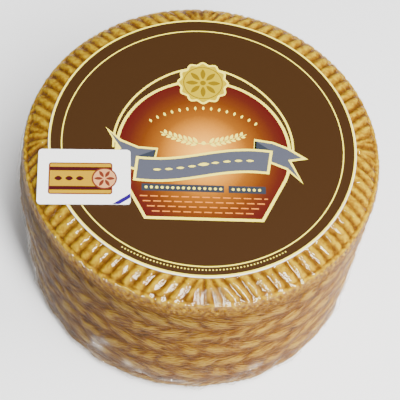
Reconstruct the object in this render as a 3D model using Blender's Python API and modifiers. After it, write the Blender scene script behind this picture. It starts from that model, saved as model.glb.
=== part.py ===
"""A small whole wheel of hard sheep's milk cheese in a tight clear wrap.

The wheel stands on its flat base, with its axis on +Z and the base's centre at the origin.
Both rims carry rounded ribs, pressed by a mould board that is cut in four quarters, and the
side carries the staggered bumps of a plaited grass band. A round paper label lies on top,
upright for a viewer on the -Y side, and a small paper card lies over the label's left part.
"""

import math

import bmesh
import bpy

# Driving dimensions, in metres
WHEEL_RADIUS = 0.0612
WHEEL_HEIGHT = 0.0725
LABEL_RADIUS = 0.0522
LABEL_THICKNESS = 0.0003
CARD_WIDTH = 0.0303
CARD_DEPTH = 0.0211
CARD_THICKNESS = 0.0004
CARD_CORNER_RADIUS = 0.0013
PAPER_GAP = 0.0003

# Rim ribs
RIB_COUNT = 84
QUARTERS = 4
RIB_INNER_RADIUS = 0.0505
RIB_OUTER_RADIUS = 0.0590
GROOVE_DEPTH = 0.0012
LEAN_AT_QUARTER_LINE = math.radians(40)
FAN_RIBS = 1.3

# A rib has one groove column and two crest columns, at these shares of its pitch
COLUMN_PHASES = (0.0, 0.25, 0.75)
COLUMNS = RIB_COUNT * len(COLUMN_PHASES)

# The rim's section, from the flat face's edge out to the side. Each point is a share of the
# rim's width, a share of its drop and a share of the groove depth: the ribs slope gently down,
# a low bead closes them, and a rounded edge runs on into the side.
SHOULDER_DROP = 0.0062
RIM_SECTION = (
    (0.00, 0.00, 0.00),
    (0.175, 0.02, 0.75),
    (0.52, 0.12, 1.00),
    (0.79, 0.35, 0.90),
    (0.875, 0.46, 0.30),
    (0.965, 0.66, 0.10),
    (1.00, 1.00, 0.00),
)

# Plaited band on the side
PLAITS_AROUND = 36
PLAIT_ROWS = 5
PLAIT_HEIGHT = 0.00035
PLAIT_SLANT = 0.42
BAND_TOP_MARGIN = 0.0105

# Where the card lies on the label, seen from above with the print upright
CARD_CENTRE = (-0.0393, -0.0163)
CARD_TURN = math.radians(1.5)


def clear_scene():
    """Remove whatever objects the scene holds."""
    for scene_object in list(bpy.data.objects):
        bpy.data.objects.remove(scene_object, do_unlink=True)


def make_material(name, color, roughness):
    """A Principled material of one colour."""
    material = bpy.data.materials.new(name)
    material.use_nodes = True
    shader = material.node_tree.nodes["Principled BSDF"]
    shader.inputs["Base Color"].default_value = (*color, 1.0)
    shader.inputs["Roughness"].default_value = roughness
    shader.inputs["Metallic"].default_value = 0.0
    return material


def face_to_side_profile():
    """Half of the turned profile, from a face's centre on the axis out to the side.

    Each point is (radius, drop below the face, groove share).
    """
    rim_width = WHEEL_RADIUS - RIB_INNER_RADIUS
    half = [(0.0, 0.0, 0.0)]
    for width_share, drop_share, groove_share in RIM_SECTION:
        half.append((RIB_INNER_RADIUS + width_share * rim_width, drop_share * SHOULDER_DROP, groove_share))
    return half


def wheel_profile():
    """The whole profile, top to bottom, as dictionaries with each point's relief."""
    half = face_to_side_profile()
    points = []
    for radius, drop, groove in half:
        points.append({"radius": radius, "height": WHEEL_HEIGHT - drop, "groove": groove, "row": None})
    row_pitch = (WHEEL_HEIGHT - 2 * BAND_TOP_MARGIN) / PLAIT_ROWS
    for row in range(PLAIT_ROWS):
        height = WHEEL_HEIGHT - BAND_TOP_MARGIN - (row + 0.5) * row_pitch
        points.append({"radius": WHEEL_RADIUS, "height": height, "groove": 0.0, "row": row})
    for radius, drop, groove in reversed(half):
        points.append({"radius": radius, "height": drop, "groove": groove, "row": None})
    return points


def profile_normal(points, index):
    """Outward unit normal of the profile at one of its inner points, as (radial, vertical)."""
    before, after = points[index - 1], points[index + 1]
    along_radius = after["radius"] - before["radius"]
    along_height = after["height"] - before["height"]
    length = math.hypot(along_radius, along_height)
    return -along_height / length, along_radius / length


def leaned_angle(angle, radius):
    """Turn a rim column's angle so that the ribs lean towards the middle of their quarter.

    The lean grows evenly from the quarter's middle to its two lines, and fades out over the
    last ribs beside a line, where the ribs of two quarters spread like a fan.
    """
    quarter = 2 * math.pi / QUARTERS
    middle = (math.floor(angle / quarter) + 0.5) * quarter
    offset = angle - middle
    share = offset / (quarter / 2)
    rib_pitch = 2 * math.pi / RIB_COUNT
    fade = min(1.0, (quarter / 2 - abs(offset)) / (FAN_RIBS * rib_pitch))
    pivot = (RIB_INNER_RADIUS + RIB_OUTER_RADIUS) / 2
    reach = min(max(radius, RIB_INNER_RADIUS), RIB_OUTER_RADIUS) - pivot
    return angle - math.tan(LEAN_AT_QUARTER_LINE * share) * fade * reach / pivot


def plait_relief(angle, row):
    """Height of the side's staggered bumps on one row of the plaited band."""
    phase = PLAITS_AROUND * angle + 2 * math.pi * PLAIT_SLANT * row
    return PLAIT_HEIGHT * 0.5 * (math.cos(phase) - 1.0)


def column_angle(column):
    """The angle of a column before it leans."""
    rib, place = divmod(column, len(COLUMN_PHASES))
    return (rib + COLUMN_PHASES[place]) * 2 * math.pi / RIB_COUNT


def turned_mesh(points):
    """Turn the profile with a Screw modifier and return the closed mesh."""
    mesh = bpy.data.meshes.new("wheel_profile")
    corners = [(point["radius"], 0.0, point["height"]) for point in points]
    edges = [(index, index + 1) for index in range(len(points) - 1)]
    mesh.from_pydata(corners, edges, [])
    turned = bpy.data.objects.new("wheel_profile", mesh)
    bpy.context.scene.collection.objects.link(turned)
    screw = turned.modifiers.new("turn", "SCREW")
    screw.steps = COLUMNS
    screw.render_steps = COLUMNS
    screw.use_merge_vertices = True
    screw.merge_threshold = 0.00001
    depsgraph = bpy.context.evaluated_depsgraph_get()
    closed = bpy.data.meshes.new_from_object(turned.evaluated_get(depsgraph))
    bpy.data.objects.remove(turned, do_unlink=True)
    return closed


def nearest_point(points, radius, height):
    """Index of the profile point that a turned vertex came from."""
    return min(range(len(points)), key=lambda index: math.hypot(
        points[index]["radius"] - radius, points[index]["height"] - height))


def make_wheel(material, collection):
    """The cheese in its wrap: turned, then ribbed on both rims and bumped on the side."""
    points = wheel_profile()
    mesh = turned_mesh(points)
    column_step = 2 * math.pi / COLUMNS
    for vertex in mesh.vertices:
        radius = math.hypot(vertex.co.x, vertex.co.y)
        if radius < RIB_INNER_RADIUS / 2:
            continue
        index = nearest_point(points, radius, vertex.co.z)
        point = points[index]
        turned_angle = math.atan2(vertex.co.y, vertex.co.x) % (2 * math.pi)
        column = round(turned_angle / column_step) % COLUMNS
        angle = leaned_angle(column_angle(column), point["radius"])
        rise = 0.0
        if point["row"] is not None:
            rise = plait_relief(angle, point["row"])
        elif column % len(COLUMN_PHASES) == 0:
            rise = -GROOVE_DEPTH * point["groove"]
        normal_radial, normal_vertical = profile_normal(points, index)
        moved = point["radius"] + normal_radial * rise
        height = point["height"] + normal_vertical * rise
        vertex.co = (moved * math.cos(angle), moved * math.sin(angle), height)
    mesh.name = "cheese_wheel"
    mesh.shade_smooth()
    mesh.set_sharp_from_angle(angle=math.radians(40))
    mesh.materials.append(material)
    wheel = bpy.data.objects.new("cheese_wheel", mesh)
    collection.objects.link(wheel)
    return wheel


def make_label(material, collection):
    """The round paper label, one gap above the wheel's flat face."""
    middle_height = WHEEL_HEIGHT + PAPER_GAP + LABEL_THICKNESS / 2
    bpy.ops.mesh.primitive_cylinder_add(
        vertices=120, radius=LABEL_RADIUS, depth=LABEL_THICKNESS, end_fill_type="NGON",
        location=(0.0, 0.0, middle_height))
    label = bpy.context.object
    label.name = "top_label"
    label.data.name = "top_label"
    label.data.shade_smooth()
    label.data.set_sharp_from_angle(angle=math.radians(40))
    label.data.materials.append(material)
    move_to(label, collection)
    return label


def make_card(material, collection):
    """The small card with rounded corners, one gap above the label."""
    card_bottom = WHEEL_HEIGHT + PAPER_GAP + LABEL_THICKNESS + PAPER_GAP
    mesh = bpy.data.meshes.new("paper_card")
    shape = bmesh.new()
    bmesh.ops.create_cube(shape, size=1.0)
    bmesh.ops.scale(shape, vec=(CARD_WIDTH, CARD_DEPTH, CARD_THICKNESS), verts=shape.verts)
    upright = []
    for edge in shape.edges:
        if abs(edge.verts[0].co.z - edge.verts[1].co.z) > CARD_THICKNESS / 2:
            upright.append(edge)
    bmesh.ops.bevel(shape, geom=upright, offset=CARD_CORNER_RADIUS, segments=5, profile=0.5, affect="EDGES")
    shape.to_mesh(mesh)
    shape.free()
    mesh.materials.append(material)
    card = bpy.data.objects.new("paper_card", mesh)
    card.location = (*CARD_CENTRE, card_bottom + CARD_THICKNESS / 2)
    card.rotation_euler = (0.0, 0.0, CARD_TURN)
    collection.objects.link(card)
    return card


def move_to(scene_object, collection):
    """Keep an object in one collection only."""
    for holder in list(scene_object.users_collection):
        holder.objects.unlink(scene_object)
    collection.objects.link(scene_object)


def main():
    clear_scene()
    collection = bpy.data.collections.new("wrapped_cheese")
    bpy.context.scene.collection.children.link(collection)
    rind = make_material("wrapped golden rind", (0.50, 0.27, 0.06), 0.3)
    label_paper = make_material("brown printed paper", (0.093, 0.038, 0.010), 0.35)
    card_paper = make_material("white card", (0.86, 0.86, 0.85), 0.5)
    make_wheel(rind, collection)
    make_label(label_paper, collection)
    make_card(card_paper, collection)


main()
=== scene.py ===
# %% [markdown]
# A small whole wheel of hard sheep's milk cheese, as a shop sells it: a golden rind with ribs
# pressed into both rims and a plaited pattern round the side, tight clear film over all of it,
# a round brown label on top, and a white card over the label's left part. The frame brings the
# plain solids of those three things. This script keeps their places and sizes and gives each
# one its real surface.

# %% Load the frame
import math

import bpy
import numpy as np
from mathutils import Matrix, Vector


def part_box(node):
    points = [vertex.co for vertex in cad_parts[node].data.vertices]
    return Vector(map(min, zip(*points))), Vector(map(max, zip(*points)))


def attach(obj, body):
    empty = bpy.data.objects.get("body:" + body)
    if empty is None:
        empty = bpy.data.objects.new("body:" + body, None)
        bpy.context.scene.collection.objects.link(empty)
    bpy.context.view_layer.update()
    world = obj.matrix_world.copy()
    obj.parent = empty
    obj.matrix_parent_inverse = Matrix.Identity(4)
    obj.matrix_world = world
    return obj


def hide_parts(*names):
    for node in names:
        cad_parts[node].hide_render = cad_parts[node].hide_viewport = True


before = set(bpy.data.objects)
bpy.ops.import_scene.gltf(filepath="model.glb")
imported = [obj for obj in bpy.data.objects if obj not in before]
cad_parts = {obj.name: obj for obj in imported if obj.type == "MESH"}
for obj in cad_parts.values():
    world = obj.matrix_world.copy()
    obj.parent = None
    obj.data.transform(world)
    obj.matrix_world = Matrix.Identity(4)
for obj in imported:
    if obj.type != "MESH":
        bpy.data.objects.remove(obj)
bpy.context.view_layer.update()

MM = 0.001
_, wheel_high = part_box("cheese_wheel")
label_low, label_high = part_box("top_label")
card_low, card_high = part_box("paper_card")
WHEEL_RADIUS = wheel_high.x
WHEEL_HEIGHT = wheel_high.z
LABEL_RADIUS = label_high.x
print("wheel radius and height, mm:", round(WHEEL_RADIUS / MM, 1), round(WHEEL_HEIGHT / MM, 1))

# %% [markdown]
# The camera stands where the photographer stood: in front, a little left, looking down steeply
# from about 40 cm. It comes first, because everything after it is judged through it. Its place
# is given as a distance and two angles from the label's centre, and its aim as two more angles
# and a roll, so that no size of the picture enters the numbers.

# %% The camera
CAMERA_DISTANCE = 398.5 * MM
CAMERA_AZIMUTH = math.radians(-6.4)
CAMERA_ELEVATION = math.radians(55.7)
AIM_AZIMUTH = math.radians(-6.77)
AIM_ELEVATION = math.radians(58.6)
CAMERA_ROLL = math.radians(7.49)
SENSOR_WIDTH, FOCAL_LENGTH = 36.0, 106.4  # in millimetres, as on a lens


def direction(azimuth, elevation):
    """Unit vector from the object to a viewer: azimuth 0 is on -Y, and it turns towards +X."""
    flat = math.cos(elevation)
    return np.array([math.sin(azimuth) * flat, -math.cos(azimuth) * flat, math.sin(elevation)])


def put(name, data, axes, place):
    """Make an object of some data, turn it to its three axes, and link it at its place."""
    matrix = np.eye(4)
    matrix[:3, :3], matrix[:3, 3] = np.column_stack(axes), place
    made = bpy.data.objects.new(name, data)
    made.matrix_world = Matrix(matrix.tolist())
    bpy.context.scene.collection.objects.link(made)
    return made


back = direction(AIM_AZIMUTH, AIM_ELEVATION)
level = np.array([math.cos(AIM_AZIMUTH), math.sin(AIM_AZIMUTH), 0.0])
upright = np.cross(back, level)
right = math.cos(CAMERA_ROLL) * level + math.sin(CAMERA_ROLL) * upright
place = CAMERA_DISTANCE * direction(CAMERA_AZIMUTH, CAMERA_ELEVATION)
place = place + np.array([0, 0, label_high.z])
camera_data = bpy.data.cameras.new("photo_camera")
camera_data.sensor_width, camera_data.lens = SENSOR_WIDTH, FOCAL_LENGTH
camera = put("photo_camera", camera_data, (right, np.cross(back, right), back), place)
bpy.context.scene.camera = camera
print("camera place, mm:", (place / MM).round(1))

# %% [markdown]
# Colours are written as they look on a screen, as sRGB hex values, and one function turns them
# into the linear light that shaders count in. One more function adds a node, sets it, links it
# and returns what it gives, so that each material below reads as a short list.


# %% Helpers for materials
def linear(hex_color, alpha=1.0):
    """sRGB hex to linear RGBA: each channel's 2.4 power curve, with its short straight foot."""
    channels = np.array([int(hex_color[i:i + 2], 16) for i in (1, 3, 5)]) / 255.0
    curved = ((channels + 0.055) / 1.055) ** 2.4
    return (*np.where(channels <= 0.04045, channels / 12.92, curved).tolist(), alpha)


def add(tree, kind, inputs=None, stops=(), out=0, **settings):
    """Add a node of a kind, named without its ShaderNode, and return its output socket.

    Each input is a plain value, or a socket to link. A colour ramp also gets its stops, as
    (place, hex colour) pairs from left to right.
    """
    made = tree.nodes.new("ShaderNode" + kind)
    for name, value in settings.items():
        setattr(made, name, value)
    for key, value in (inputs or {}).items():
        if isinstance(value, bpy.types.NodeSocket):
            tree.links.new(value, made.inputs[key])
        else:
            made.inputs[key].default_value = value
    for number, (position, hex_color) in enumerate(stops):
        elements = made.color_ramp.elements
        element = elements[number] if number < len(elements) else elements.new(position)
        element.position, element.color = position, linear(hex_color)
    return made.outputs[out] if made.outputs else None


def new_material(name):
    """An empty node material with its output, and the tree to fill."""
    material = bpy.data.materials.new(name)
    material.use_nodes = True
    material.node_tree.nodes.clear()
    return material, material.node_tree


# %% [markdown]
# Every new shape here is a grid of points worked out at once as numpy arrays. Two builders turn
# grids into meshes: one joins rows that run round the axis and closes both poles, and one makes
# a thin flat plate between two matched edges, which is what a printed shape needs.


# %% Helpers for meshes
def grid_quads(rows, columns, wrap_rows, wrap_columns):
    """Corner numbers of a grid's quads; a wrapped direction joins its last line to its first."""
    row = np.arange(rows if wrap_rows else rows - 1)
    column = np.arange(columns if wrap_columns else columns - 1)
    row, column = np.meshgrid(row, column, indexing="ij")
    next_row, next_column = (row + 1) % rows, (column + 1) % columns
    corners = [row * columns + column, next_row * columns + column,
               next_row * columns + next_column, row * columns + next_column]
    return np.stack(corners, axis=-1).reshape(-1, 4)


def link_piece(name, points, faces, material, smooth):
    """Make one named piece from points and faces, with its material and body."""
    mesh = bpy.data.meshes.new(name)
    mesh.from_pydata(points.tolist(), [], faces)
    mesh.update()
    if smooth:
        mesh.shade_smooth()
    mesh.materials.append(material)
    piece = bpy.data.objects.new(name, mesh)
    bpy.context.scene.collection.objects.link(piece)
    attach(piece, "root")
    print("made", name, "with", len(faces), "faces")
    return piece


def turned_piece(name, points, material):
    """Closed surface from points[row, column]: rows run from the top pole to the bottom pole.

    The first and last rows shrink to a pole, and a UV map gives millimetres round and up.
    """
    rows, columns = points.shape[:2]
    quads = grid_quads(rows, columns, False, True)
    ring = np.arange(columns)
    following = (ring + 1) % columns
    top, bottom = rows * columns, rows * columns + 1
    last = (rows - 1) * columns
    top_fan = np.column_stack([np.full(columns, top), ring, following])
    bottom_fan = np.column_stack([np.full(columns, bottom), last + following, last + ring])
    poles = np.stack([points[0].mean(axis=0), points[-1].mean(axis=0)])
    corners = np.concatenate([points.reshape(-1, 3), poles])
    piece = link_piece(name, corners, quads.tolist() + top_fan.tolist() + bottom_fan.tolist(),
                       material, True)
    turn = np.arange(columns) * 2 * np.pi * WHEEL_RADIUS / columns / MM
    full_turn = 2 * np.pi * WHEEL_RADIUS / MM
    along = np.broadcast_to(turn, (rows, columns)).reshape(-1)
    up = points[:, :, 2].reshape(-1) / MM
    quad_u = along[quads]
    quad_u[quads[:, 0] % columns == columns - 1, 2:] = full_turn
    quad_uv = np.stack([quad_u, up[quads]], axis=-1).reshape(-1, 2)
    fan_uv = np.zeros((columns * 6, 2))
    layer = piece.data.uv_layers.new(name="round_and_up")
    layer.data.foreach_set("uv", np.concatenate([quad_uv, fan_uv]).reshape(-1).astype(np.float32))
    return piece


def store(piece, name, values):
    """Keep one number for each point of a turned piece, for its material. Its poles get 0."""
    attribute = piece.data.attributes.new(name, "FLOAT", "POINT")
    flat = np.append(values.reshape(-1), [0.0, 0.0])
    attribute.data.foreach_set("value", flat.astype(np.float32))


def plate(edge_a, edge_b, low, high, closed=False):
    """Points and faces of a flat plate between two matched edges, from height low to high.

    Its section is a thin rectangle carried along both edges. A closed plate joins its ends.
    """
    edge_a, edge_b = np.asarray(edge_a, float), np.asarray(edge_b, float)
    across = edge_b[:-1] - edge_a[:-1]
    along = np.diff(edge_a + edge_b, axis=0)
    if (across[:, 0] * along[:, 1] - across[:, 1] * along[:, 0]).sum() < 0:
        edge_a, edge_b = edge_b, edge_a
    count = len(edge_a)
    rows = [(edge_a, high), (edge_b, high), (edge_b, low), (edge_a, low)]
    points = np.concatenate([np.column_stack([edge, np.full(count, z)]) for edge, z in rows])
    faces = grid_quads(4, count, True, closed).tolist()
    if not closed:
        faces.append([3 * count, 2 * count, count, 0])
        faces.append([count - 1, 2 * count - 1, 3 * count - 1, 4 * count - 1])
    return points, faces


def flat_piece(name, plates, material):
    """Join several plates into one named piece."""
    points, faces, start = [], [], 0
    for plate_points, plate_faces in plates:
        points.append(plate_points)
        faces.extend([[start + corner for corner in face] for face in plate_faces])
        start += len(plate_points)
    return link_piece(name, np.concatenate(points), faces, material, False)


# %% [markdown]
# The rind's shape starts as a section that is turned round the axis. Each rim is a quarter of a
# superellipse, which slopes gently off the flat face and then rounds over into the side. The
# rows are packed close where the ribs are and further apart on the plain side.

# %% The section of the wheel
RIB_COUNT = 84
QUARTER = 2 * np.pi / 4
RIB_INNER_RADIUS, RIB_OUTER_RADIUS = 50.5 * MM, 59.0 * MM
RIM_WIDTH = WHEEL_RADIUS - RIB_INNER_RADIUS
SHOULDER_DROP = 6.2 * MM
RIM_POWER = 2.2
FACE_RADII = np.array([12.0, 30.0, 44.0, 49.0]) * MM
SIDE_SHARE = 2.0  # a number past the rim's 0 to 1, which marks the rows of the plain side


def rim_rows(count):
    """Shares of the rim's width and drop along a superellipse quarter, flat face to side."""
    turn = np.linspace(0.0, np.pi / 2, count)
    width = np.sin(turn) ** (2 / RIM_POWER)
    drop = 1.0 - np.cos(turn) ** (2 / RIM_POWER)
    return width, drop


def wheel_section(top_count, side_count, foot_count, packing=1.0):
    """Radius, height and rim share of each row, from the top face's middle to the base's.

    A packing above 1 moves the side's rows towards the foot.
    """
    width, drop = rim_rows(top_count)
    foot_width, foot_drop = (shares[::-1] for shares in rim_rows(foot_count))
    side = np.linspace(1.0, 0.0, side_count + 2)[1:-1] ** packing
    side = SHOULDER_DROP + side * (WHEEL_HEIGHT - 2 * SHOULDER_DROP)
    flat = np.ones(len(FACE_RADII))
    radius = np.concatenate([
        FACE_RADII, RIB_INNER_RADIUS + width * RIM_WIDTH, np.full(side_count, WHEEL_RADIUS),
        RIB_INNER_RADIUS + foot_width * RIM_WIDTH, FACE_RADII[::-1]])
    height = np.concatenate([
        flat * WHEEL_HEIGHT, WHEEL_HEIGHT - drop * SHOULDER_DROP, side,
        foot_drop * SHOULDER_DROP, flat * 0])
    share = np.concatenate([flat * 0, width, np.full(side_count, SIDE_SHARE), foot_width, flat * 0])
    return radius, height, share


def wheel_grid(columns_per_rib, *row_counts):
    """Angles round the wheel as one row, then radius, height and share as columns."""
    columns = RIB_COUNT * columns_per_rib
    angle = np.arange(columns) * 2 * np.pi / columns + np.pi / 2
    return angle[None, :], *(part[:, None] for part in wheel_section(*row_counts))


def turned_points(angle, radius, height, rise):
    """Turn the section by each angle and move every point along its normal by rise.

    The outward normal is the section's direction from row to row, turned by a quarter.
    """
    along_radius, along_height = np.gradient(radius, axis=0), np.gradient(height, axis=0)
    length = np.hypot(along_radius, along_height)
    away = radius - along_height / length * rise
    up = height + along_radius / length * rise
    return np.stack([away * np.cos(angle), away * np.sin(angle), up], axis=-1)


print("rim section, share of width and drop:", *(part.round(2) for part in rim_rows(5)))

# %% [markdown]
# The ribs come from a mould board in four quarters. In the middle of a quarter they point
# straight out, and towards its two edges they lean back to the middle, so that two quarters
# meet in a small fan. The rule below undoes that lean for any point of the rim, which leaves an
# angle that counts evenly spaced ribs.

# %% The ribs' rule
LEAN_AT_QUARTER_LINE = math.radians(40)
FAN_RIBS = 1.3
RIB_PITCH = 2 * np.pi / RIB_COUNT
RIDGE_POWER = 2.1
GROOVE_DEPTH = 1.0 * MM
SPLIT_DEPTH, SPLIT_WIDTH = 0.8, 0.13
STRENGTH_SPREAD = 0.16
random = np.random.default_rng(11)
rib_strength = 1.0 + STRENGTH_SPREAD * random.uniform(-1, 1, RIB_COUNT)
rib_tone = random.uniform(-1, 1, RIB_COUNT)


def grow(value, start, length):
    """0 before start, then an even rise to 1 over the length; a negative length runs back."""
    return np.clip((value - start) / length, 0.0, 1.0)


def hump(value, middle, width):
    """A bell curve that is 1 in its middle: e to the minus square of the distance over width."""
    return np.exp(-((value - middle) / width) ** 2)


def rib_angle(angle, radius):
    """The angle a rib would have without its lean, by repeating the lean until it settles."""
    middle = (np.floor(angle / QUARTER) + 0.5) * QUARTER
    pivot = (RIB_INNER_RADIUS + RIB_OUTER_RADIUS) / 2
    reach = np.clip(radius, RIB_INNER_RADIUS, RIB_OUTER_RADIUS) - pivot
    root = angle + np.zeros_like(radius)
    for _ in range(10):
        offset = root - middle
        fade = grow(np.abs(offset), QUARTER / 2, -FAN_RIBS * RIB_PITCH)
        lean = np.tan(LEAN_AT_QUARTER_LINE * offset / (QUARTER / 2)) * fade
        root = angle + lean * reach / pivot
    return root


def rib_profile(root, radius):
    """Rounded ridge with a narrow groove on each side: 0 in the groove and 1 on the crest.

    The two ribs beside a quarter line widen outwards, so a short groove splits each there.
    """
    across = (root / RIB_PITCH) % 1.0
    ridge = 1.0 - np.abs(2 * across - 1) ** RIDGE_POWER
    from_line = np.abs((root + QUARTER / 2) % QUARTER - QUARTER / 2)
    outwards = (radius - RIB_INNER_RADIUS) / (RIB_OUTER_RADIUS - RIB_INNER_RADIUS)
    split = SPLIT_DEPTH * hump(across, 0.5, SPLIT_WIDTH) * grow(outwards, 0.25, 0.625)
    return ridge - np.where(from_line < RIB_PITCH, split, 0.0)


def rib_reach(share):
    """How deep the grooves are at a share of the rim's width: they end at face and bead."""
    return grow(share, 0.02, 0.14) * grow(share, 0.91, -0.09)


print("rib pitch at the rim, mm:", round(RIB_PITCH * RIB_OUTER_RADIUS / MM, 2))

# %% [markdown]
# Nothing on a hand-made cheese is even. Soft unevenness comes from a sum of sine waves with
# seeded directions and phases, which has no seam round the wheel because every wave fits a
# whole number of times.


# %% Soft unevenness
def ripple(angle, height, waves, finest, seed):
    """Sum of sines round and up the wheel, about -1 to 1; finest is the most waves round."""
    draw = np.random.default_rng(seed)
    total = np.zeros(np.broadcast(angle, height).shape)
    for _ in range(waves):
        turns = draw.integers(finest // 4, finest + 1)
        rise = draw.uniform(-1, 1) * turns / WHEEL_RADIUS
        total += np.sin(turns * angle + rise * height + draw.uniform(0, 2 * np.pi))
    return total / math.sqrt(waves) / 1.4


# %% [markdown]
# The side was pressed against a plaited band. Its mark is rows of long slanted bumps, each row
# set over from the last and leaning the other way.

# %% The plait's rule
PLAITS_AROUND, PLAIT_ROWS = 36, 5
PLAIT_SLANT, PLAIT_SLIDE, PLAIT_WAVER = 0.42, 0.6, 0.16
BAND_TOP_MARGIN = 10.5 * MM
PLAIT_HEIGHT = 0.45 * MM
PLAIT_PITCH = (WHEEL_HEIGHT - 2 * BAND_TOP_MARGIN) / PLAIT_ROWS
BUMP_HALF_ROUND, BUMP_HALF_TALL, BUMP_EDGE = 0.50, 0.40, 1.15


def plait_profile(angle, height):
    """Bumps from 0 to 1 and the lean, 0 or 1, of the row that each point is in.

    A bump is highest inside an ellipse in its cell, and the cell slants with the row.
    """
    waver = PLAIT_WAVER * ripple(angle, height, 12, 60, 14)
    place_down = (WHEEL_HEIGHT - BAND_TOP_MARGIN - height) / PLAIT_PITCH + waver * 0.5
    row = np.floor(place_down)
    down = place_down - row
    lean = np.mod(row, 2)
    slide = (down - 0.5) * np.where(lean > 0.5, PLAIT_SLIDE, -PLAIT_SLIDE)
    across = np.mod(PLAITS_AROUND * angle / (2 * np.pi) + PLAIT_SLANT * row + slide + waver, 1.0)
    away = np.hypot((across - 0.5) / BUMP_HALF_ROUND, (down - 0.5) / BUMP_HALF_TALL)
    bump = np.clip(BUMP_EDGE * (BUMP_EDGE - away), 0.0, 1.0)
    inside = (place_down > 0) & (place_down < PLAIT_ROWS)
    return np.where(inside, bump * bump * (3 - 2 * bump), 0.0), lean


print("plait pitch, mm:", round(PLAIT_PITCH / MM, 1), "down and",
      round(2 * np.pi * WHEEL_RADIUS / PLAITS_AROUND / MM, 1), "round")

# %% [markdown]
# The rind is a natural rind, washed and lightly waxed: deep gold on the ribs, brown in their
# grooves, tan and fibrous on the side where the plait's strands left fine streaks. The points
# carry how high they stand and how far down the side they are, and the material mixes its
# colours by those numbers. The real streaks are a few tenths of a millimetre wide. They are
# drawn 0.7 mm wide and 5 mm long, because finer ones wouldn't show.

# %% Rind material
STREAK_LENGTH, STREAK_WIDTH, STREAK_LEAN = 5.0, 0.7, math.radians(20)
GRAIN_SIZE, BLOTCH_SIZE = 1.6 * MM, 9 * MM
rind_material, tree = new_material("washed cheese rind")
uv = add(tree, "UVMap", uv_map="round_and_up")
spot = add(tree, "TexCoord", out="Object")
ridge, side, leaning, low_down, tone, shade = (
    add(tree, "Attribute", attribute_name=name, out="Fac")
    for name in ("ridge", "side", "leaning", "low_down", "tone", "shade"))

streaks = []
for turn in (STREAK_LEAN, -STREAK_LEAN):
    turned_uv = add(tree, "Mapping", {"Vector": uv, "Rotation": (0, 0, turn)})
    stretched = add(tree, "Mapping", {
        "Vector": turned_uv, "Scale": (1 / STREAK_LENGTH, 1 / STREAK_WIDTH, 1)})
    streaks.append(add(tree, "TexNoise", {
        "Vector": stretched, "Scale": 1.0, "Detail": 2.0, "Roughness": 0.6}))
streak = add(tree, "Mix", {0: leaning, 2: streaks[0], 3: streaks[1]})
grain = add(tree, "TexNoise", {
    "Vector": spot, "Scale": 1 / GRAIN_SIZE, "Detail": 4.0, "Roughness": 0.65})
blotch = add(tree, "TexNoise", {
    "Vector": spot, "Scale": 1 / BLOTCH_SIZE, "Detail": 3.0, "Roughness": 0.55})

# Each mix is a start plus its sockets times their weights, and picks a place on its ramps
mixes = []
for mix, terms in ((-0.78, ((grain, 1.9), (ridge, 1.0), (tone, 0.06))),
                   (-0.83, ((streak, 2.2), (ridge, 0.42), (blotch, 0.40)))):
    for socket, weight in terms:
        mix = add(tree, "Math", {0: socket, 1: weight, 2: mix}, operation="MULTIPLY_ADD")
    mixes.append(mix)
rim_color = add(tree, "ValToRGB", {"Fac": mixes[0]}, stops=[
    (0.10, "#5C3600"), (0.45, "#7E5600"), (0.80, "#9E7A00"), (1.0, "#B29200")])
side_color = add(tree, "ValToRGB", {"Fac": mixes[1]}, stops=[
    (0.15, "#341A00"), (0.42, "#583002"), (0.65, "#744A06"), (0.95, "#A07E26")])
low_color = add(tree, "ValToRGB", {"Fac": mixes[1]}, stops=[
    (0.15, "#503210"), (0.50, "#785822"), (0.95, "#A08448")])
side_color = add(tree, "Mix", {0: low_down, 6: side_color, 7: low_color}, data_type="RGBA", out=2)
rind_color = add(tree, "Mix", {0: side, 6: rim_color, 7: side_color}, data_type="RGBA", out=2)
# Painted shade and light: the shade number darkens the wheel's left and the side under the rim, and
# lightens its right
rind_color = add(tree, "HueSaturation", {"Value": shade, "Color": rind_color})

rind_height = add(tree, "Mix", {0: side, 2: grain, 3: streak})
rind_bump = add(tree, "Bump", {"Height": rind_height, "Strength": 0.9, "Distance": 0.7 * MM})
rind_shader = add(tree, "BsdfPrincipled", {
    "Base Color": rind_color, "Roughness": 0.5, "Specular IOR Level": 0.03, "Normal": rind_bump,
    "Subsurface Weight": 0.04, "Subsurface Radius": (1.2, 0.6, 0.2), "Subsurface Scale": 0.5 * MM})
add(tree, "OutputMaterial", {"Surface": rind_shader})

# %% [markdown]
# Now the rind itself. One grid holds all of it. The film lies outside it, so the rind is the
# frame's solid drawn in by a third of a millimetre. Grooves cut in from that surface, a lumpy
# bead closes them, and the plait's bumps rise on the side. A real wheel isn't quite round: this
# one swells by 2 mm on the left of its side, and its edge is wavy near the foot.

# %% The rind
FILM_GAP, NEAREST_GAP = 0.3 * MM, 0.05 * MM
BEAD_SHARE, BEAD_WIDTH, BEAD_HEIGHT = 0.90, 0.035, 0.5 * MM
VALLEY_SHARE, VALLEY_WIDTH, VALLEY_DEPTH = 0.835, 0.025, 0.35 * MM
LUMP_HEIGHT, FINE_LUMP_HEIGHT, DENT_DEPTH = 0.12 * MM, 0.096 * MM, 0.22 * MM
BELLY, BELLY_RISE = (182.0, 48.0, 24.0, 15.0), 2.0 * MM
FOOT_WAVE, FOOT_WAVE_TOP = 0.6 * MM, 22 * MM


def around_from(angle, centre):
    """Length round the wheel from a centre angle, with its sign, the shorter way."""
    return (np.mod(angle - centre + np.pi, 2 * np.pi) - np.pi) * WHEEL_RADIUS


def bell(angle, height, degrees, up, half_round, half_tall):
    """A soft bump, 0 to 1: one bell curve round the wheel times one up it, in millimetres."""
    around = around_from(angle, math.radians(degrees))
    return hump(around, 0.0, half_round * MM) * hump(height, up * MM, half_tall * MM)


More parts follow.
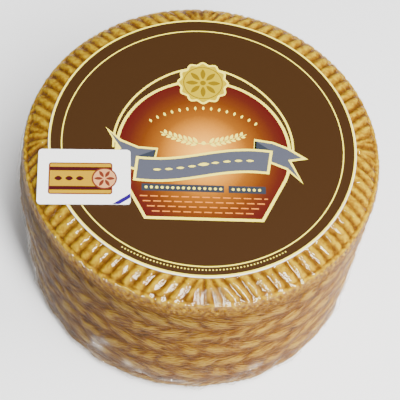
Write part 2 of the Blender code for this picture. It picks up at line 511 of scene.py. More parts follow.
def foot_wave(angle, height):
    """Uneven edge low on the side: soft waves that fade out upwards and under the base."""
    fade = grow(height, FOOT_WAVE_TOP, -FOOT_WAVE_TOP) * grow(height, 0.0, 3 * MM)
    return FOOT_WAVE * fade * ripple(angle, height, 12, 30, 52)


RIND_GRID = 11, 38, 38, 20  # columns to a rib, then rows on the rim, the side and the foot
angle, grid_radius, grid_height, share = wheel_grid(*RIND_GRID)
on_side = share == SIDE_SHARE

root = rib_angle(angle, grid_radius)
rib_number = np.floor(root / RIB_PITCH).astype(int) % RIB_COUNT
crest = rib_profile(root + 0.006 * ripple(angle, grid_height, 12, 60, 3), grid_radius)
reach = rib_reach(share)
lumps = ripple(angle, grid_height, 14, 190, 5)
fine_lumps = ripple(angle, grid_height, 24, 300, 6)
dents = np.minimum(ripple(angle, grid_height, 10, 14, 8), 0.0)
plait, lean = plait_profile(angle, grid_height)
bead = hump(share, BEAD_SHARE, BEAD_WIDTH)
valley = hump(share, VALLEY_SHARE, VALLEY_WIDTH) * (0.8 + 0.4 * lumps)
near_edge = grow(share, 0.9, 0.05) * grow(grid_height, WHEEL_HEIGHT - 12 * MM, 4 * MM)

rind_rise = (-FILM_GAP - GROOVE_DEPTH * reach * rib_strength[rib_number] * (1.0 - crest)
             - VALLEY_DEPTH * valley + BEAD_HEIGHT * bead * (0.35 + 0.4 * crest + 0.45 * lumps)
             + 0.9 * PLAIT_HEIGHT * on_side * (plait - 1.0)
             + LUMP_HEIGHT * lumps * np.clip((share - 0.5) * 2, 0.3, 1.0)
             + FINE_LUMP_HEIGHT * fine_lumps * near_edge + DENT_DEPTH * dents * (share > 0.05))
rind_rise = np.minimum(rind_rise, -NEAREST_GAP) + foot_wave(angle, grid_height)
rind_rise = rind_rise + BELLY_RISE * bell(angle, grid_height, *BELLY) * on_side
rind_points = turned_points(angle, grid_radius, grid_height, rind_rise)
rind = turned_piece("rind", rind_points, rind_material)

# %% [markdown]
# The rind's material reads six numbers from each point: how high it stands between groove and
# crest, how much it belongs to the side, which way its streaks lean, how near the foot it is,
# its rib's own tone, and a painted shade. That shade darkens the wheel's left and lightens its
# right, as the light falls on them, and darkens the side a little just under the rim.

# %% The rind's numbers
drop_from_top = (WHEEL_HEIGHT - grid_height) / MM + 0 * angle
side_amount = grow(drop_from_top + 1.2 * lumps, 7.0, 5.0)
rim_value = np.where(reach > 0, 1.0 - (1.0 - crest) * reach, 0.75) - 0.25
ridge_value = np.where(on_side, plait, rim_value) + 0.25 * bead * lumps - 0.55 * valley
edge_band = grow(share, 0.93, 0.04) * grow(drop_from_top, 12.0, -3.0)
ridge_value = ridge_value * (1.0 - edge_band) + edge_band * (0.22 + 0.5 * fine_lumps)
# Painted shade and light, as the light falls: darker towards the wheel's left, lighter on its
# right, mostly on the side
left_shade_share = 0.5 - 0.5 * np.cos(angle - math.radians(20))
# Painted shade: the side is darker in a band just under the rim, where the rim shades it
shade_under_rim = 0.12 * hump(drop_from_top, 14.0, 6.0)
round_shade = (0.14 - 0.70 * left_shade_share ** 2) * (0.3 + 0.7 * side_amount)
store(rind, "ridge", np.clip(ridge_value, 0.0, 1.0))
store(rind, "side", side_amount)
store(rind, "leaning", lean)
store(rind, "low_down", grow(grid_height + 0 * angle, 10 * MM, -10 * MM))
store(rind, "tone", rib_tone[rib_number])
store(rind, "shade", 1.0 - shade_under_rim + round_shade)

# %% [markdown]
# The clear film is shrunk tight. It rides on the ribs' crests, dips a little into the grooves,
# bridges the plait's hollows and gathers in creases and wrinkles low on the side, where its
# spare width was drawn under the base. A film is so thin that light goes straight through, so
# its shader mixes plain transparency with a gloss that grows at grazing angles, and a faint
# white haze where the film is gathered. A white veil that grows towards grazing angles is a
# painted reflection of the pale surroundings. The film's gloss is strong on the ribs, weak where
# it clings to the side, and strong again in a few crumpled patches, whose wrinkles sparkle.

# %% Film material
GLOSS_LIMIT = 0.12
CREASE_WIDTH, CREASE_LENGTH, PUCKER_SIZE = 2.2, 9.0, 1.7 * MM
WRINKLE_LENGTH, WRINKLE_WIDTH, WRINKLE_LEAN = 3.4, 1.7, math.radians(8)
WRINKLE_RISE, WRINKLE_VEIL, PAINTED_EDGE_REFLECTION = 2.6, 0.22, 0.3
film_material, tree = new_material("clear shrink film")
haze, shine, gathered = (add(tree, "Attribute", attribute_name=name, out="Fac")
                         for name in ("haze", "shine", "gathered"))
spot = add(tree, "TexCoord", out="Object")
uv = add(tree, "UVMap", uv_map="round_and_up")
long_uv = add(tree, "Mapping", {"Vector": uv, "Scale": (1 / CREASE_WIDTH, 1 / CREASE_LENGTH, 1)})
creases = add(tree, "TexNoise", {
    "Vector": long_uv, "Scale": 1.0, "Detail": 3.0, "Roughness": 0.6,
    "Distortion": 0.6})
puckers = add(tree, "TexNoise", {
    "Vector": spot, "Scale": 1 / PUCKER_SIZE, "Detail": 3.0, "Roughness": 0.55})
flat_uv = add(tree, "Mapping", {
    "Vector": uv, "Rotation": (0, 0, WRINKLE_LEAN),
    "Scale": (1 / WRINKLE_LENGTH, 1 / WRINKLE_WIDTH, 1)})
wrinkles = add(tree, "TexNoise", {
    "Vector": flat_uv, "Scale": 1.0, "Detail": 0.5, "Roughness": 0.5,
    "Distortion": 0.8})
wrinkles = add(tree, "MapRange", {0: wrinkles, 1: 0.42, 2: 0.72})
tight_height = add(tree, "Mix", {0: 0.5, 2: creases, 3: puckers})
wrinkle_height = add(tree, "Math", {0: wrinkles, 1: WRINKLE_RISE}, operation="MULTIPLY")
film_height = add(tree, "Mix", {0: gathered, 2: tight_height, 3: wrinkle_height})
film_bump = add(tree, "Bump", {"Height": film_height, "Strength": 0.8, "Distance": 0.4 * MM})

wrinkles = add(tree, "Math", {0: wrinkles, 1: gathered}, operation="MULTIPLY")
# Painted reflection: a white veil that thickens towards grazing angles stands in for the film's
# mirror image of the pale surroundings, which the gloss limit holds down
facing = add(tree, "LayerWeight", {"Blend": 0.5}, out="Facing")
grazing = add(tree, "Math", {0: facing, 1: 12.0}, operation="POWER")
haze_and_edge_reflection = haze
for socket, weight in ((grazing, PAINTED_EDGE_REFLECTION), (wrinkles, WRINKLE_VEIL)):
    haze_and_edge_reflection = add(tree, "Math", {0: socket, 1: weight, 2: haze_and_edge_reflection}, operation="MULTIPLY_ADD")
clear = add(tree, "BsdfTransparent", {"Color": linear("#FFFFFF")})
white = add(tree, "BsdfDiffuse", {"Color": linear("#EFE6DC")})
veiled = add(tree, "MixShader", {0: haze_and_edge_reflection, 1: clear, 2: white})
gloss = add(tree, "BsdfGlossy", {
    "Color": linear("#FFFFFF"), "Roughness": 0.05, "Normal": film_bump})
fresnel = add(tree, "Fresnel", {"IOR": 1.5, "Normal": film_bump})
held = add(tree, "Math", {0: fresnel, 1: GLOSS_LIMIT}, operation="MINIMUM")
reflected = add(tree, "Math", {0: held, 1: shine}, operation="MULTIPLY")
film_shader = add(tree, "MixShader", {0: reflected, 1: veiled, 2: gloss})
add(tree, "OutputMaterial", {"Surface": film_shader})

# %% [markdown]
# The film is a second turned surface just outside the rind. It takes the rind's swelling and
# its wavy foot, and adds what only a film has: sharp little creases in seeded places, folds
# that stand out at the foot, and crumpled patches. Places are given as degrees round the wheel
# from +X and millimetres up, and a patch also has its half sizes round and up.

# %% Creases, folds and patches
CREASE_COUNT, CREASE_HEIGHT = 260, 0.50 * MM
FOLD_PLACES = (
    (228.6, 7.4), (249.1, 4.3), (296.1, 11.5), (333.1, 5.3), (20.0, 8.0), (75.0, 6.0),
    (118.0, 9.0), (165.0, 5.0), (200.0, 9.0), (272.0, 6.0))
FOLD_HALF_SIZES, FOLD_HEIGHT = (2.0, 5.0), 0.9 * MM
CRUMPLE_PLACES = (
    (236, 18, 2.4, 4), (239, 24, 1.6, 2), (248, 16, 1.8, 2), (252, 12, 2, 1.5),
    (265, 10, 5, 1.2), (291, 17, 2.4, 2), (296, 9, 2, 1.5), (330, 12, 4, 3), (20, 15, 4, 3),
    (75, 12, 4, 3), (118, 16, 3, 4), (165, 10, 4, 2), (200, 15, 3, 3))


def crease_field(angle, height, count, seed):
    """Sharp little ridges, each a narrow bump across a slanted line of limited length."""
    draw = np.random.default_rng(seed)
    total = np.zeros(np.broadcast(angle, height).shape)
    for _ in range(count):
        centre_angle = draw.uniform(0, 2 * np.pi) + np.pi / 2
        centre_height = draw.triangular(1, 4, 26) * MM
        tilt = draw.normal(0.0, 0.55)
        width = draw.uniform(0.35, 0.7) * MM
        length = draw.uniform(2.5, 8) * MM
        around = around_from(angle, centre_angle)
        up = height - centre_height
        along = around * math.cos(tilt) + up * math.sin(tilt)
        across = up * math.cos(tilt) - around * math.sin(tilt) + 0.04 * along ** 2 / MM
        total += draw.uniform(0.3, 1.0) * hump(across, 0.0, width) * hump(along, 0.0, length)
    return total


FILM_GRID = 10, 32, 54, 20, 1.5  # as the rind's, with the side's rows packed to the foot
film_angle, film_radius, film_up, film_share = wheel_grid(*FILM_GRID)
creased = crease_field(film_angle, film_up, CREASE_COUNT, 31)
folds = sum(bell(film_angle, film_up, *fold, *FOLD_HALF_SIZES) for fold in FOLD_PLACES)
crumpled = sum(bell(film_angle, film_up, *patch) for patch in CRUMPLE_PLACES)
crumpled = np.clip(crumpled, 0.0, 1.0)
print("film rows and columns:", creased.shape)

# %% The film
FILM_DIP, FILM_PLAIT, FILM_WAVE = 0.4 * GROOVE_DEPTH, 0.25 * MM, 0.25 * MM
film_root = rib_angle(film_angle, film_radius)
film_crest = 0.5 - 0.5 * np.cos(2 * np.pi * film_root / RIB_PITCH)
film_plait, _ = plait_profile(film_angle, film_up)
film_side = film_share == SIDE_SHARE
film_bead = hump(film_share, BEAD_SHARE, BEAD_WIDTH)
film_lumps = ripple(film_angle, film_up, 14, 190, 5)
film_drop = np.minimum(WHEEL_HEIGHT - film_up, film_up)
film_wave = grow(film_drop, 3 * MM, 5 * MM) * ripple(film_angle, film_up, 10, 30, 21)
loose = bell(film_angle, film_up, *BELLY) * film_side
film_rise = (-FILM_DIP * rib_reach(film_share) * (1.0 - film_crest)
             + FILM_PLAIT * film_plait * film_side + FILM_WAVE * film_wave
             + BEAD_HEIGHT * film_bead * (0.1 + 0.6 * film_crest + 0.35 * film_lumps)
             + grow(film_share, 0.6, 0.4) * (CREASE_HEIGHT * creased + FOLD_HEIGHT * folds)
             + foot_wave(film_angle, film_up)
             + BELLY_RISE * loose * (1.0 + 0.2 * ripple(film_angle, film_up, 10, 24, 44)))
film_points = turned_points(film_angle, film_radius, film_up, film_rise)
film = turned_piece("clear_film", film_points, film_material)

foot = grow(film_up, 26 * MM, -26 * MM)
past_bead = grow(film_drop, 3.3 * MM, 2.0 * MM)
film_haze = 0.22 * foot ** 1.2 * np.clip(creased - 0.25, 0, 1.5) * (film_share > 0.3)
loose_shine = (0.25 * foot ** 1.3 + 1.3 * crumpled) * past_bead
store(film, "gathered", np.clip(0.5 * foot + crumpled, 0.0, 1.0))
store(film, "haze", np.clip(film_haze, 0.0, 0.6))
store(film, "shine", 0.75 - 0.73 * past_bead + loose_shine)
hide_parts("cheese_wheel")
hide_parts("cheese_wheel")

# %% [markdown]
# The label is coated paper, printed by offset: flat inks with a soft sheen and the faint grain
# of the sheet. Each ink is a material, and each printed shape is a plate a few hundredths of a
# millimetre thick, because its edges then stay sharp at any distance.


# %% Ink materials
def coated_ink(name, hex_color, gloss=0.38):
    """Offset ink on coated paper: nearly flat colour, with fibre mottle 0.6 mm wide."""
    material, tree = new_material(name)
    spot = add(tree, "TexCoord", out="Object")
    mottle = add(tree, "TexNoise", {"Vector": spot, "Scale": 1 / (0.6 * MM), "Detail": 3.0})
    shade = add(tree, "MapRange", {0: mottle, 3: 0.93, 4: 1.05})
    color = add(tree, "HueSaturation", {"Value": shade, "Color": linear(hex_color)})
    bump = add(tree, "Bump", {"Height": mottle, "Strength": 0.15, "Distance": 0.05 * MM})
    shader = add(tree, "BsdfPrincipled", {
        "Base Color": color, "Roughness": gloss, "Specular IOR Level": 0.12, "Normal": bump})
    add(tree, "OutputMaterial", {"Surface": shader})
    return material


paper_white = coated_ink("coated white paper", "#F4F3EF", 0.5)
brown_ink = coated_ink("dark brown ink", "#34200D")
cream_ink = coated_ink("cream ink", "#F4E254")
slate_ink = coated_ink("slate ink", "#484A54")
dark_slate_ink = coated_ink("dark slate ink", "#2C313A")
gold_ink = coated_ink("gold ink", "#AE9600")
old_gold_ink = coated_ink("old gold ink", "#786000")

# %% [markdown]
# The badge in the label's middle glows: pale peach where the light seems to fall, orange round
# it, dark red at its edge. That is one radial blend, worked out from the distance to the glow's
# centre, with a few hundredths of unevenness so that it doesn't band.

# %% Badge material
GLOW_CENTRE = (0.0, -6.5 * MM)
GLOW_RADIUS, GLOW_STRETCH = 30.0 * MM, 0.92
badge_material, tree = new_material("blended badge ink")
spot = add(tree, "TexCoord", out="Object")
centred = add(tree, "Mapping", {
    "Vector": spot, "Scale": (1 / GLOW_RADIUS, GLOW_STRETCH / GLOW_RADIUS, 0), "Location": (
        -GLOW_CENTRE[0] / GLOW_RADIUS, -GLOW_CENTRE[1] / GLOW_RADIUS * GLOW_STRETCH, 0)})
distance = add(tree, "VectorMath", {0: centred}, operation="LENGTH", out="Value")
uneven = add(tree, "TexNoise", {"Vector": spot, "Scale": 1 / (0.7 * MM)})
distance = add(tree, "Math", {0: uneven, 1: 0.04, 2: distance}, operation="MULTIPLY_ADD")
glow = add(tree, "ValToRGB", {"Fac": distance}, stops=[
    (0.10, "#F2A838"), (0.36, "#BC781C"), (0.53, "#824A0E"), (0.72, "#602E0A"),
    (0.87, "#4E190D"), (0.97, "#4A0E0C")])
badge_shader = add(tree, "BsdfPrincipled", {
    "Base Color": glow, "Roughness": 0.38, "Specular IOR Level": 0.12})
add(tree, "OutputMaterial", {"Surface": badge_shader})

# %% [markdown]
# The printed shapes are drawn by a few rules in millimetres, on the label seen from above with
# its print upright. A line of ink is a strip with two edges at half its width from a path. The
# inks are stacked in layers 0.02 mm apart, in the order of printing.

# %% Rules for printed shapes
LAYER, FACE = 0.02 * MM, label_high.z
SPECK = 0.001  # how far a filled shape's inner edge is shrunk towards its middle


def circle_part(radius, turn, centre):
    """Points at the given turns of a circle, or of a wavy one whose radius changes."""
    return np.column_stack([centre[0] + radius * np.cos(turn), centre[1] + radius * np.sin(turn)])


def circle(radius, count=240, centre=(0.0, 0.0)):
    """Points all round a circle, in millimetres."""
    return circle_part(radius, np.arange(count) * 2 * np.pi / count, centre)


def path_normals(path, closed):
    """Unit normals of a path in the plane, from the mean direction at each point."""
    if closed:
        ahead, behind = np.roll(path, -1, axis=0) - path, path - np.roll(path, 1, axis=0)
    else:
        ahead = np.diff(path, axis=0, append=2 * path[-1:] - path[-2:-1])
        behind = np.diff(path, axis=0, prepend=2 * path[:1] - path[1:2])
    ahead = ahead / np.linalg.norm(ahead, axis=1, keepdims=True)
    behind = behind / np.linalg.norm(behind, axis=1, keepdims=True)
    mean = ahead + behind
    mean = mean / np.linalg.norm(mean, axis=1, keepdims=True)
    stretch = np.clip((mean * ahead).sum(axis=1), 0.35, 1.0)
    return np.column_stack([-mean[:, 1], mean[:, 0]]) / stretch[:, None]


def printed(edge_a, edge_b, layer, closed=False, base=FACE):
    """A printed plate in one ink layer, from two edges in millimetres."""
    low = base + (layer - 1) * LAYER
    return plate(np.asarray(edge_a) * MM, np.asarray(edge_b) * MM, low, low + LAYER * 1.5, closed)


def line(path, width, layer, closed=False, base=FACE):
    """A printed line: the path's two edges, half a width to each side."""
    path = np.asarray(path, float)
    offset = path_normals(path, closed) * width / 2
    return printed(path - offset, path + offset, layer, closed, base)


def dot(centre, radius, layer, base=FACE, count=14):
    """A filled circle, as a plate between its lower and its upper arc."""
    turn = np.linspace(0.04, np.pi - 0.04, count)
    x = centre[0] - radius * np.cos(turn)
    lower, upper = (np.column_stack([x, centre[1] + side * radius * np.sin(turn)])
                    for side in (-1, 1))
    return printed(lower, upper, layer, base=base)


def leaf(start, heading, length, width, layer, base=FACE):
    """A pointed leaf: its width grows and shrinks as a sine along its length."""
    along = np.linspace(0, 1, 9)
    half = width / 2 * np.sin(np.pi * along) ** 0.8 + 0.02
    forward = np.array([math.cos(heading), math.sin(heading)])
    sideways = np.array([-forward[1], forward[0]])
    spine = np.asarray(start) + np.outer(along * length, forward)
    offset = np.outer(half, sideways)
    return printed(spine - offset, spine + offset, layer, base=base)


# %% [markdown]
# The sheet is white paper under the print: it shows as a thin bright edge round the brown. It
# lies on the film, and the brown stops a hair short of the cut. The cream border and the thin
# cream ring are the label's frame.

# %% The label's sheet and rings
SHEET_RADIUS, SHEET_CENTRE = 51.93, (0.0, -0.15)
BORDER_WIDTH, BORDER_RADIUS, BORDER_CENTRE = 0.6, 51.5, (0.0, 0.0)
RING_WIDTH, RING_RADIUS, RING_CENTRE = 0.4, 47.47, (0.0, -0.72)
centre_spot = circle(0.01)
sheet_edge = circle(SHEET_RADIUS, centre=SHEET_CENTRE)
sheet_plate = plate(centre_spot * MM, sheet_edge * MM, label_low.z, FACE, True)
label_sheet = flat_piece("label_sheet", [sheet_plate], paper_white)
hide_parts("top_label")
brown_edge = circle(BORDER_RADIUS, centre=BORDER_CENTRE)
flat_piece("label_brown", [printed(centre_spot, brown_edge, 1, True)], brown_ink)
rings = [line(brown_edge, BORDER_WIDTH, 2, True),
         line(circle(RING_RADIUS, centre=RING_CENTRE), RING_WIDTH, 2, True)]
flat_piece("label_rings", rings, cream_ink)
print("label radius, mm:", round(LABEL_RADIUS / MM, 1))

# %% [markdown]
# The badge is a circle whose lower part is cut by two slanted sides and a flat foot. A thin
# arch stands over it and runs down into it near the ribbon.

# %% The badge
BADGE_CENTRE_Y, BADGE_RADIUS = -4.6, 29.1
BADGE_FOOT_Y, BADGE_FOOT_X = -30.8, 19.1
BADGE_CUT = math.radians(-21)
BADGE_EDGE, ARCH_EDGE = 1.0, 0.75


def badge_outline():
    """Counter-clockwise from the foot's right corner: up the slant, round the circle, down."""
    arc = np.linspace(BADGE_CUT, np.pi - BADGE_CUT, 120)
    round_part = circle_part(BADGE_RADIUS, arc, (0.0, BADGE_CENTRE_Y))
    corners = np.array([[BADGE_FOOT_X, BADGE_FOOT_Y]])
    return np.concatenate([corners, round_part, corners * [-1, 1]])


badge_path = badge_outline()
badge_middle = np.array([[0.0, BADGE_CENTRE_Y]]) + SPECK * badge_path
flat_piece("badge_field", [printed(badge_middle, badge_path, 2, True)], badge_material)
ARCH_HALF_WIDTH, ARCH_FOOT_Y, ARCH_RISE, ARCH_POWER = 30.2, -1.0, 31.3, 1.8
ARCH_LEG = np.array([0.0, 3.0])
arch_turn = np.linspace(0.0, math.pi, 90)
arch_curve = np.column_stack([
    ARCH_HALF_WIDTH * np.sign(np.cos(arch_turn)) * np.abs(np.cos(arch_turn)) ** (2 / ARCH_POWER),
    ARCH_FOOT_Y + ARCH_RISE * np.sin(arch_turn) ** (2 / ARCH_POWER)])
arch_path = np.concatenate([arch_curve[:1] - ARCH_LEG, arch_curve, arch_curve[-1:] - ARCH_LEG])
badge_lines = [line(badge_path, BADGE_EDGE, 3, True), line(arch_path, ARCH_EDGE, 3)]
flat_piece("badge_lines", badge_lines, cream_ink)

# %% [markdown]
# A slate ribbon waves across the badge. Its front is the strip between two copies of one sine
# wave; behind it, each end folds back and runs out into a forked tail. Cream lines edge it.

# %% The ribbon
WAVE_MIDDLE, WAVE_RISE, WAVE_LENGTH = -10.15, 2.3, 66.0
RIBBON_HALF_HEIGHT = 4.35


def ribbon_middle(x):
    """Height of the ribbon's middle line: one sine wave across the badge."""
    return WAVE_MIDDLE + WAVE_RISE * np.sin(2 * np.pi * (x + 0.5) / WAVE_LENGTH)


steps = np.linspace(0, 1, 40)
top_x, foot_x = -22.1 + 44.9 * steps, -22.9 + 44.3 * steps
ribbon_top = np.column_stack([top_x, ribbon_middle(top_x) + RIBBON_HALF_HEIGHT])
ribbon_foot = np.column_stack([foot_x, ribbon_middle(foot_x) - RIBBON_HALF_HEIGHT])
right_tail_top = np.array([[17.5, 0.6], [23.4, -0.3], [28.5, -2.5], [34.1, -6.3]])
right_tail_foot = np.array([[17.3, -3.2], [22.6, -8.3], [27.8, -10.6], [32.4, -15.4]])
left_tail_top = np.array([[-15.7, -4.2], [-21.9, -3.8], [-27.7, -1.2], [-32.3, 3.1]])
left_tail_foot = np.array([[-16.3, -7.6], [-22.0, -12.6], [-26.8, -11.4], [-31.2, -8.0]])
right_notch, left_notch = (28.9, -7.3), (-28.0, -4.4)


def tail(top, foot, notch):
    """Two plates that share the tail's middle line: the upper and the lower prong of the fork."""
    middle = (top + foot) / 2
    middle[-1] = notch
    middle[-2] = (middle[-2] + middle[-3]) / 2
    return [printed(middle, top, 4), printed(foot, middle, 4)]


flat_piece("ribbon_tails", tail(right_tail_top, right_tail_foot, right_notch)
           + tail(left_tail_top, left_tail_foot, left_notch), slate_ink)
fold_right = printed([[17.4, 0.3], [22.9, -3.6]], [[17.1, -3.0], [22.6, -3.9]], 5)
fold_left = printed([[-15.9, -4.5], [-21.9, -7.3]], [[-16.5, -7.6], [-21.7, -7.7]], 5)
flat_piece("ribbon_folds", [fold_right, fold_left], dark_slate_ink)
flat_piece("ribbon_front", [printed(ribbon_foot, ribbon_top, 6)], slate_ink)
ribbon_loop = np.concatenate([ribbon_foot, ribbon_top[::-1]])
right_loop = np.concatenate([right_tail_top, [right_notch], right_tail_foot[::-1]])
left_loop = np.concatenate([left_tail_top, [left_notch], left_tail_foot[::-1]])
edging = [line(loop, width, layer, True) for loop, width, layer in (
    (right_loop, 0.8, 5), (left_loop, 0.8, 5), (ribbon_loop, 0.9, 7))]
flat_piece("ribbon_edging", edging, cream_ink)

# %% [markdown]
# The rest of the print is plain ornament: a gold rosette at the badge's top, a row of small
# lozenges over the centre, two sprigs under it, dots and rules below the ribbon, and a run of
# fine dots between the label's two rings.

# %% The rosette
ROSETTE_Y, ROSETTE_RADIUS, ROSETTE_LOBES, LOBE_DEPTH = 23.8, 8.2, 12, 0.45
lobe_turn = np.arange(240) * 2 * np.pi / 240
lobe_radius = ROSETTE_RADIUS + LOBE_DEPTH * np.cos(ROSETTE_LOBES * lobe_turn)
rosette_path = circle_part(lobe_radius, lobe_turn, (0.0, ROSETTE_Y))
rosette_middle = circle_part(SPECK * lobe_radius, lobe_turn, (0.0, ROSETTE_Y))
flat_piece("rosette_field", [printed(rosette_middle, rosette_path, 4, True)], gold_ink)
flat_piece("rosette_edge", [line(rosette_path, 0.75, 5, True)], cream_ink)
petals = []
for heading in np.arange(8) * math.pi / 4:
    start = circle_part(1.6, heading, (0.0, ROSETTE_Y))[0]
    petals.append(leaf(start, heading, 4.4, 1.7, 5))
petals.append(dot((0.0, ROSETTE_Y), 1.0, 5))
petals.append(line(circle(6.7, 120, (0.0, ROSETTE_Y)), 0.3, 5, True))
flat_piece("rosette_petals", petals, old_gold_ink)

# %% The small ornaments
ROW_RADIUS, ROW_CENTRE = 29.7, (0.0, -17.4)
FINE_DOT_RADIUS, DOT_STEP, DOT_Y = 49.4, 1.75, -19.25
ornaments = []
for turn in np.linspace(math.radians(54), math.radians(126), 15):
    ornaments.append(leaf(circle_part(ROW_RADIUS, turn, ROW_CENTRE)[0], turn, 1.5, 0.8, 3))


def sprig_height(x):
    """Height of a sprig's stem, which bends up as a power of the distance from the middle."""
    return -1.6 + 0.06 * x ** 1.6


for hand in (-1, 1):
    for number in range(7):
        reach_out = 2.0 + 1.75 * number
        stem = (hand * reach_out, sprig_height(reach_out))
        heading = math.pi / 2 - hand * (math.pi / 2 - 0.25 - 0.04 * number)
        for swing, length, width in ((0.75, 2.9, 1.05), (-0.65, 2.6, 0.95)):
            length = length - 0.14 * number
            ornaments.append(leaf(stem, heading + hand * swing, length, width, 3))
    stem_x = np.linspace(0.4, 14.6, 20)
    stem_path = np.column_stack([hand * stem_x, sprig_height(stem_x)])
    ornaments.append(line(stem_path, 0.28, 3))
ornaments.append(dot((0.0, -1.3), 0.75, 4))
for x in np.linspace(-15.5, 15.5, 9):
    size = 1.9 if abs(x) < 1 else 1.3
    start = (x - size, ribbon_middle(x))
    ornaments.append(leaf(start, 0.12 * math.cos(x / 10), 2 * size, 0.62 * size, 8))
for x in (*np.arange(-19.0, 5.6, DOT_STEP), *np.arange(9.6, 19.4, DOT_STEP)):
    ornaments.append(dot((x, DOT_Y), 0.5, 4))
for turn in np.radians(np.arange(238, 303, 1.3)):
    ornaments.append(dot(circle_part(FINE_DOT_RADIUS, turn, (0.0, 0.0))[0], 0.24, 2, count=8))
flat_piece("label_ornaments", ornaments, cream_ink)

BAR_LOW, BAR_HIGH = -20.6, -17.9
bars = [printed([[left, BAR_LOW], [right, BAR_LOW]], [[left, BAR_HIGH], [right, BAR_HIGH]], 3)
        for left, right in ((-20.5, 6.6), (8.1, 20.4))]
flat_piece("badge_bars", bars, dark_slate_ink)
RULE_WIDTH, RULE_LENGTH, RULE_STEP = 0.42, 2.5, 3.4
rules = [line([[start, y], [min(start + RULE_LENGTH, half), y]], RULE_WIDTH, 3)
         for y, half in ((-22.6, 21.0), (-24.5, 20.0), (-26.4, 18.6), (-28.3, 17.0))
         for start in np.arange(-half, half - 1.0, RULE_STEP)]
tan_ink = coated_ink("tan ink", "#CC7830")
flat_piece("badge_rules", rules, tan_ink)

# %% [markdown]
# The card is a small piece of white board with rounded corners, printed with plain fields in
# yellow, dark red, tan and blue. It lies on the label and reaches out over the ribs.

# %% The card
CARD_CENTRE, CARD_TURN = (-39.3, -16.3), math.radians(1.5)
CARD_WIDTH, CARD_DEPTH, CARD_CORNER = 30.3, 21.1, 1.3
CARD_FACE = card_high.z


def on_card(points):
    """Turn and move points from the card's own middle to its place on the wheel, in millimetres."""
    points = np.asarray(points, float)
    cosine, sine = math.cos(CARD_TURN), math.sin(CARD_TURN)
    turned = np.column_stack([points[:, 0] * cosine - points[:, 1] * sine,
                              points[:, 0] * sine + points[:, 1] * cosine])
    return turned + np.array(CARD_CENTRE)


def card_print(edge_a, edge_b, layer, closed=False):
    """A printed plate on the card, from two edges round the card's own middle."""
    return printed(on_card(edge_a), on_card(edge_b), layer, closed, CARD_FACE)


def rounded_edges(width, depth, corner, centre=(0.0, 0.0)):
    """Lower and upper edge of a rectangle with round corners, matched from left to right."""
    turn = np.linspace(0.02, np.pi / 2, 8)
    left = -width / 2 + corner * (1 - np.cos(turn))
    inset = corner * (1 - np.sin(turn))
    x = np.concatenate([left, -left[::-1]])
    half = depth / 2 - np.concatenate([inset, inset[::-1]])
    return [np.column_stack([x, y]) + centre for y in (-half, half)]


lower, upper = rounded_edges(CARD_WIDTH, CARD_DEPTH, CARD_CORNER)
card_plate = plate(on_card(lower) * MM, on_card(upper) * MM, card_low.z, CARD_FACE)
white_card = flat_piece("white_card", [card_plate], paper_white)
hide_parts("paper_card")

yellow_ink = coated_ink("yellow ink", "#A88200", 0.45)
red_brown_ink = coated_ink("red brown ink", "#642A1B", 0.45)
maroon_ink = coated_ink("maroon ink", "#380A0F", 0.45)
tan_board_ink = coated_ink("light tan ink", "#C18A5A", 0.45)
blue_ink = coated_ink("dark blue ink", "#240863", 0.45)
PANEL_CENTRE, PANEL_WIDTH, PANEL_DEPTH = (-1.2, -0.8), 20.4, 11.8
lower, upper = rounded_edges(PANEL_WIDTH, PANEL_DEPTH, 0.7, PANEL_CENTRE)
flat_piece("card_panel", [card_print(lower, upper, 1)], yellow_ink)
panel_loop = np.concatenate([lower, upper[::-1]])
card_lines = [line(on_card(panel_loop), 0.42, 2, True, CARD_FACE)]
SEAL_RADIUS, SEAL_CENTRE = 3.9, (6.6, -0.8)
seal = circle(SEAL_RADIUS, 96, SEAL_CENTRE)
card_lines.append(line(on_card(seal), 0.5, 4, True, CARD_FACE))
for heading in np.arange(6) * math.pi / 3:
    start = on_card(circle_part(0.5, heading, SEAL_CENTRE))[0]
    card_lines.append(leaf(start, heading + CARD_TURN, 2.9, 1.1, 4, CARD_FACE))
flat_piece("card_lines", card_lines, red_brown_ink)
seal_field = card_print(circle(SPECK * SEAL_RADIUS, 96, SEAL_CENTRE), seal, 3, True)
flat_piece("card_seal", [seal_field], tan_board_ink)
bands = [card_print([[-11.2, low], [8.8, low]], [[-11.2, high], [8.8, high]], 2)
         for low, high in ((2.2, 3.6), (-5.2, -3.8))]
for x in (-9.7, -6.2, -2.7):
    bands.append(leaf(on_card([[x, -0.8]])[0], CARD_TURN, 2.6, 1.7, 2, CARD_FACE))
flat_piece("card_bands", bands, maroon_ink)
corner_strip = card_print([[9.2, -10.5], [15.1, -6.4]], [[11.6, -10.5], [15.1, -8.1]], 1)
flat_piece("card_strips", [corner_strip], blue_ink)

# %% [markdown]
# The studio is a pale floor under soft light. A long strip high up in front lights the wheel
# and draws the bright runs on the ribs that face it. Two low strips, left and front, light
# nothing and only draw glints on the film. A large box at the right and a weak one above do the
# opposite: they light the surfaces and aren't mirrored. Pale surroundings fill the rest.

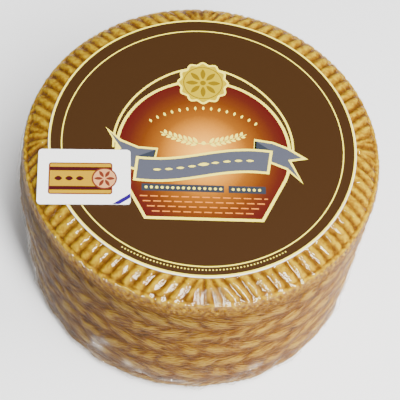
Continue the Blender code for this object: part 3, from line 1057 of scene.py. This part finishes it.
# %% Floor
floor_material, tree = new_material("pale studio floor")
spot = add(tree, "TexCoord", out="Object")
cloud = add(tree, "TexNoise", {"Vector": spot, "Scale": 3.0})
floor_color = add(tree, "ValToRGB", {"Fac": cloud}, stops=[(0.3, "#F6F6F6"), (0.7, "#FAFAFA")])
floor_shader = add(tree, "BsdfPrincipled", {"Base Color": floor_color, "Roughness": 0.7})
add(tree, "OutputMaterial", {"Surface": floor_shader})
FLOOR_HALF, FLOOR_DROP = 1.5, 0.05 * MM
floor_mesh = bpy.data.meshes.new("floor")
floor_corners = [(x * FLOOR_HALF, y * FLOOR_HALF, -FLOOR_DROP)
                 for x, y in ((-1, -1), (1, -1), (1, 1), (-1, 1))]
floor_mesh.from_pydata(floor_corners, [], [(0, 1, 2, 3)])
floor_mesh.materials.append(floor_material)
floor = bpy.data.objects.new("floor", floor_mesh)
bpy.context.scene.collection.objects.link(floor)


# %% Lights
def soft_box(name, azimuth, elevation, distance, size, watts, mirrored=True, lighting=True):
    """An area light that looks at the wheel from a direction given in degrees, size in metres.

    One that isn't mirrored lights the surfaces, but draws no bright shape on glossy film. One
    that isn't lighting only draws its shape there.
    """
    lamp = bpy.data.lights.new(name, "AREA")
    lamp.shape = "RECTANGLE"
    lamp.size, lamp.size_y = size
    lamp.energy = watts
    azimuth = math.radians(azimuth)
    toward = direction(azimuth, math.radians(elevation))
    level = np.array([math.cos(azimuth), math.sin(azimuth), 0.0])
    place = toward * distance + np.array([0, 0, WHEEL_HEIGHT / 2])
    holder = put(name, lamp, (level, np.cross(toward, level), toward), place)
    holder.visible_glossy, holder.visible_diffuse = mirrored, lighting


soft_box("key_strip", 22, 62, 0.8, (0.14, 0.6), 18.0)
soft_box("left_strip", -42, 18, 0.8, (0.16, 0.3), 8.0, lighting=False)
soft_box("low_strip", 18, 16, 0.8, (0.3, 0.14), 7.0, lighting=False)
soft_box("right_box", 80, 30, 0.9, (0.8, 0.7), 12.0, mirrored=False)
soft_box("top_fill", 60, 72, 1.1, (1.2, 1.2), 1.5, mirrored=False)
world = bpy.data.worlds.new("pale surroundings")
world.use_nodes = True
background = world.node_tree.nodes["Background"]
background.inputs["Color"].default_value = linear("#FFFFFF")
background.inputs["Strength"].default_value = 0.35
bpy.context.scene.world = world
